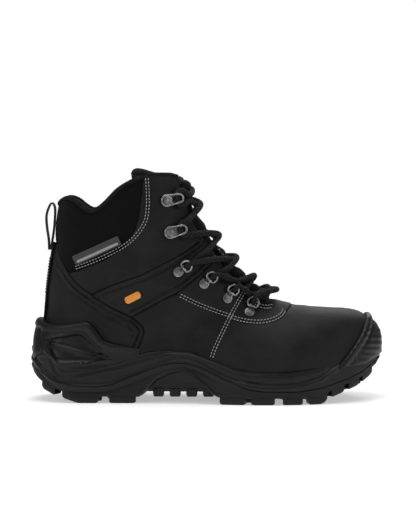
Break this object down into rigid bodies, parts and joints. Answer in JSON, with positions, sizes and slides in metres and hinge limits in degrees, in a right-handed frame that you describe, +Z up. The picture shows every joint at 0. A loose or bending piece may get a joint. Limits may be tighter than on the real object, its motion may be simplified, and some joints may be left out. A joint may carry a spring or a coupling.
{
  "type": "safety boot",
  "caption": "Ankle-high lace-up leather safety boot, right foot, with a steel toe cap, a steel midsole plate, a moulded heel cage and a lugged rubber sole.",
  "frame": {"origin": "on the ground, at the middle of the boot's bounding box seen from above", "axes": "+X from heel to toe, +Z up, -Y is the outer (lateral) side of a right foot"},
  "size_m": [0.3019, 0.11, 0.1964],
  "materials": {
    "tread_rubber": "matt moulded rubber",
    "midsole_rubber": "satin moulded polyurethane",
    "moulded_cage": "satin moulded TPU",
    "toe_rubber": "matt moulded rubber",
    "steel": "pressed steel",
    "insole_board": "fibre board",
    "footbed_foam": "textile over foam",
    "stiffener": "thermoplastic sheet",
    "leather": "oiled nubuck with fine grain",
    "strap_leather": "oiled nubuck, embossed edges",
    "collar_textile": "padded textile",
    "binding": "folded edge tape",
    "lining_mesh": "spacer mesh",
    "tongue_textile": "padded textile",
    "webbing": "woven tape",
    "label": "woven label",
    "badge": "raised rubber mark",
    "dark_metal": "dark nickel plate",
    "rivet_metal": "dark nickel plate",
    "lace_cord": "round woven cord",
    "lace_tip": "clear-coated plastic"
  },
  "bodies": {
    "boot": {"outsole": "tread_rubber", "midsole": "midsole_rubber", "heel_stabiliser": "moulded_cage", "toe_guard": "toe_rubber", "steel_toe_cap": "steel", "steel_midsole_plate": "steel", "insole_board": "insole_board", "heel_stiffener": "stiffener", "vamp": "leather", "quarter_lower_lateral": "leather", "quarter_lower_medial": "leather", "quarter_upper_lateral": "leather", "quarter_upper_medial": "leather", "ankle_strap_lateral": "strap_leather", "ankle_strap_medial": "strap_leather", "lace_facing": "leather", "heel_panel": "leather", "padded_collar": "collar_textile", "collar_binding": "binding", "lining_shaft": "lining_mesh", "lining_vamp": "lining_mesh", "backstay_tape": "webbing", "side_label": "label", "side_badge": "badge", "ring_clips": "dark_metal", "ring_rivets": "rivet_metal", "speed_hooks": "dark_metal", "hook_rivets": "rivet_metal", "lace": "lace_cord", "lace_tips": "lace_tip"},
    "tongue": {"tongue": "tongue_textile", "lace_keeper": "webbing"},
    "footbed": {"footbed": "footbed_foam"},
    "pull_loop": {"pull_loop": "webbing"},
    "ring_lateral_1": {"ring_lateral_1": "dark_metal"},
    "ring_lateral_2": {"ring_lateral_2": "dark_metal"},
    "ring_lateral_3": {"ring_lateral_3": "dark_metal"},
    "ring_lateral_4": {"ring_lateral_4": "dark_metal"},
    "ring_medial_1": {"ring_medial_1": "dark_metal"},
    "ring_medial_2": {"ring_medial_2": "dark_metal"},
    "ring_medial_3": {"ring_medial_3": "dark_metal"},
    "ring_medial_4": {"ring_medial_4": "dark_metal"}
  },
  "joints": [
    {"name": "tongue_fold", "type": "hinge", "parent": "boot", "child": "tongue", "pos_m": [0.058, -0.0014, 0.078], "axis": [0, -1, 0], "range_deg": [0, 8], "stiffness_Nm_per_rad": 2, "springref_deg": -2.86},
    {"name": "footbed_lift", "type": "hinge", "parent": "boot", "child": "footbed", "pos_m": [0.124, 0.006, 0.03], "axis": [0, 1, 0], "range_deg": [0, 8]},
    {"name": "pull_loop_fold", "type": "hinge", "parent": "boot", "child": "pull_loop", "pos_m": [-0.1339, 0, 0.1264], "axis": [0, -1, 0], "range_deg": [0, 35], "stiffness_Nm_per_rad": 0.01},
    {"name": "ring_lateral_1_swivel", "type": "hinge", "parent": "boot", "child": "ring_lateral_1", "pos_m": [0.03753, -0.02564, 0.08051], "axis": [-0.9345, 0.0962, 0.3427], "range_deg": [-4, 4]},
    {"name": "ring_lateral_2_swivel", "type": "hinge", "parent": "boot", "child": "ring_lateral_2", "pos_m": [0.02022, -0.02765, 0.09172], "axis": [-0.7909, -0.2115, 0.5742], "range_deg": [-4, 4]},
    {"name": "ring_lateral_3_swivel", "type": "hinge", "parent": "boot", "child": "ring_lateral_3", "pos_m": [0.00159, -0.03356, 0.1033], "axis": [-0.6397, -0.1235, 0.7586], "range_deg": [-4, 4]},
    {"name": "ring_lateral_4_swivel", "type": "hinge", "parent": "boot", "child": "ring_lateral_4", "pos_m": [-0.01969, -0.03909, 0.11304], "axis": [-0.5821, -0.0317, 0.8125], "range_deg": [-4, 4]},
    {"name": "ring_medial_1_swivel", "type": "hinge", "parent": "boot", "child": "ring_medial_1", "pos_m": [0.03724, 0.01894, 0.08064], "axis": [0.9426, 0.1814, -0.2802], "range_deg": [-4, 4]},
    {"name": "ring_medial_2_swivel", "type": "hinge", "parent": "boot", "child": "ring_medial_2", "pos_m": [0.02002, 0.01877, 0.09181], "axis": [0.8211, -0.1513, -0.5504], "range_deg": [-4, 4]},
    {"name": "ring_medial_3_swivel", "type": "hinge", "parent": "boot", "child": "ring_medial_3", "pos_m": [0.00161, 0.02355, 0.10329], "axis": [0.6375, -0.1331, -0.7589], "range_deg": [-4, 4]},
    {"name": "ring_medial_4_swivel", "type": "hinge", "parent": "boot", "child": "ring_medial_4", "pos_m": [-0.01938, 0.03019, 0.11297], "axis": [0.5625, -0.096, -0.8212], "range_deg": [-4, 4]}
  ]
}
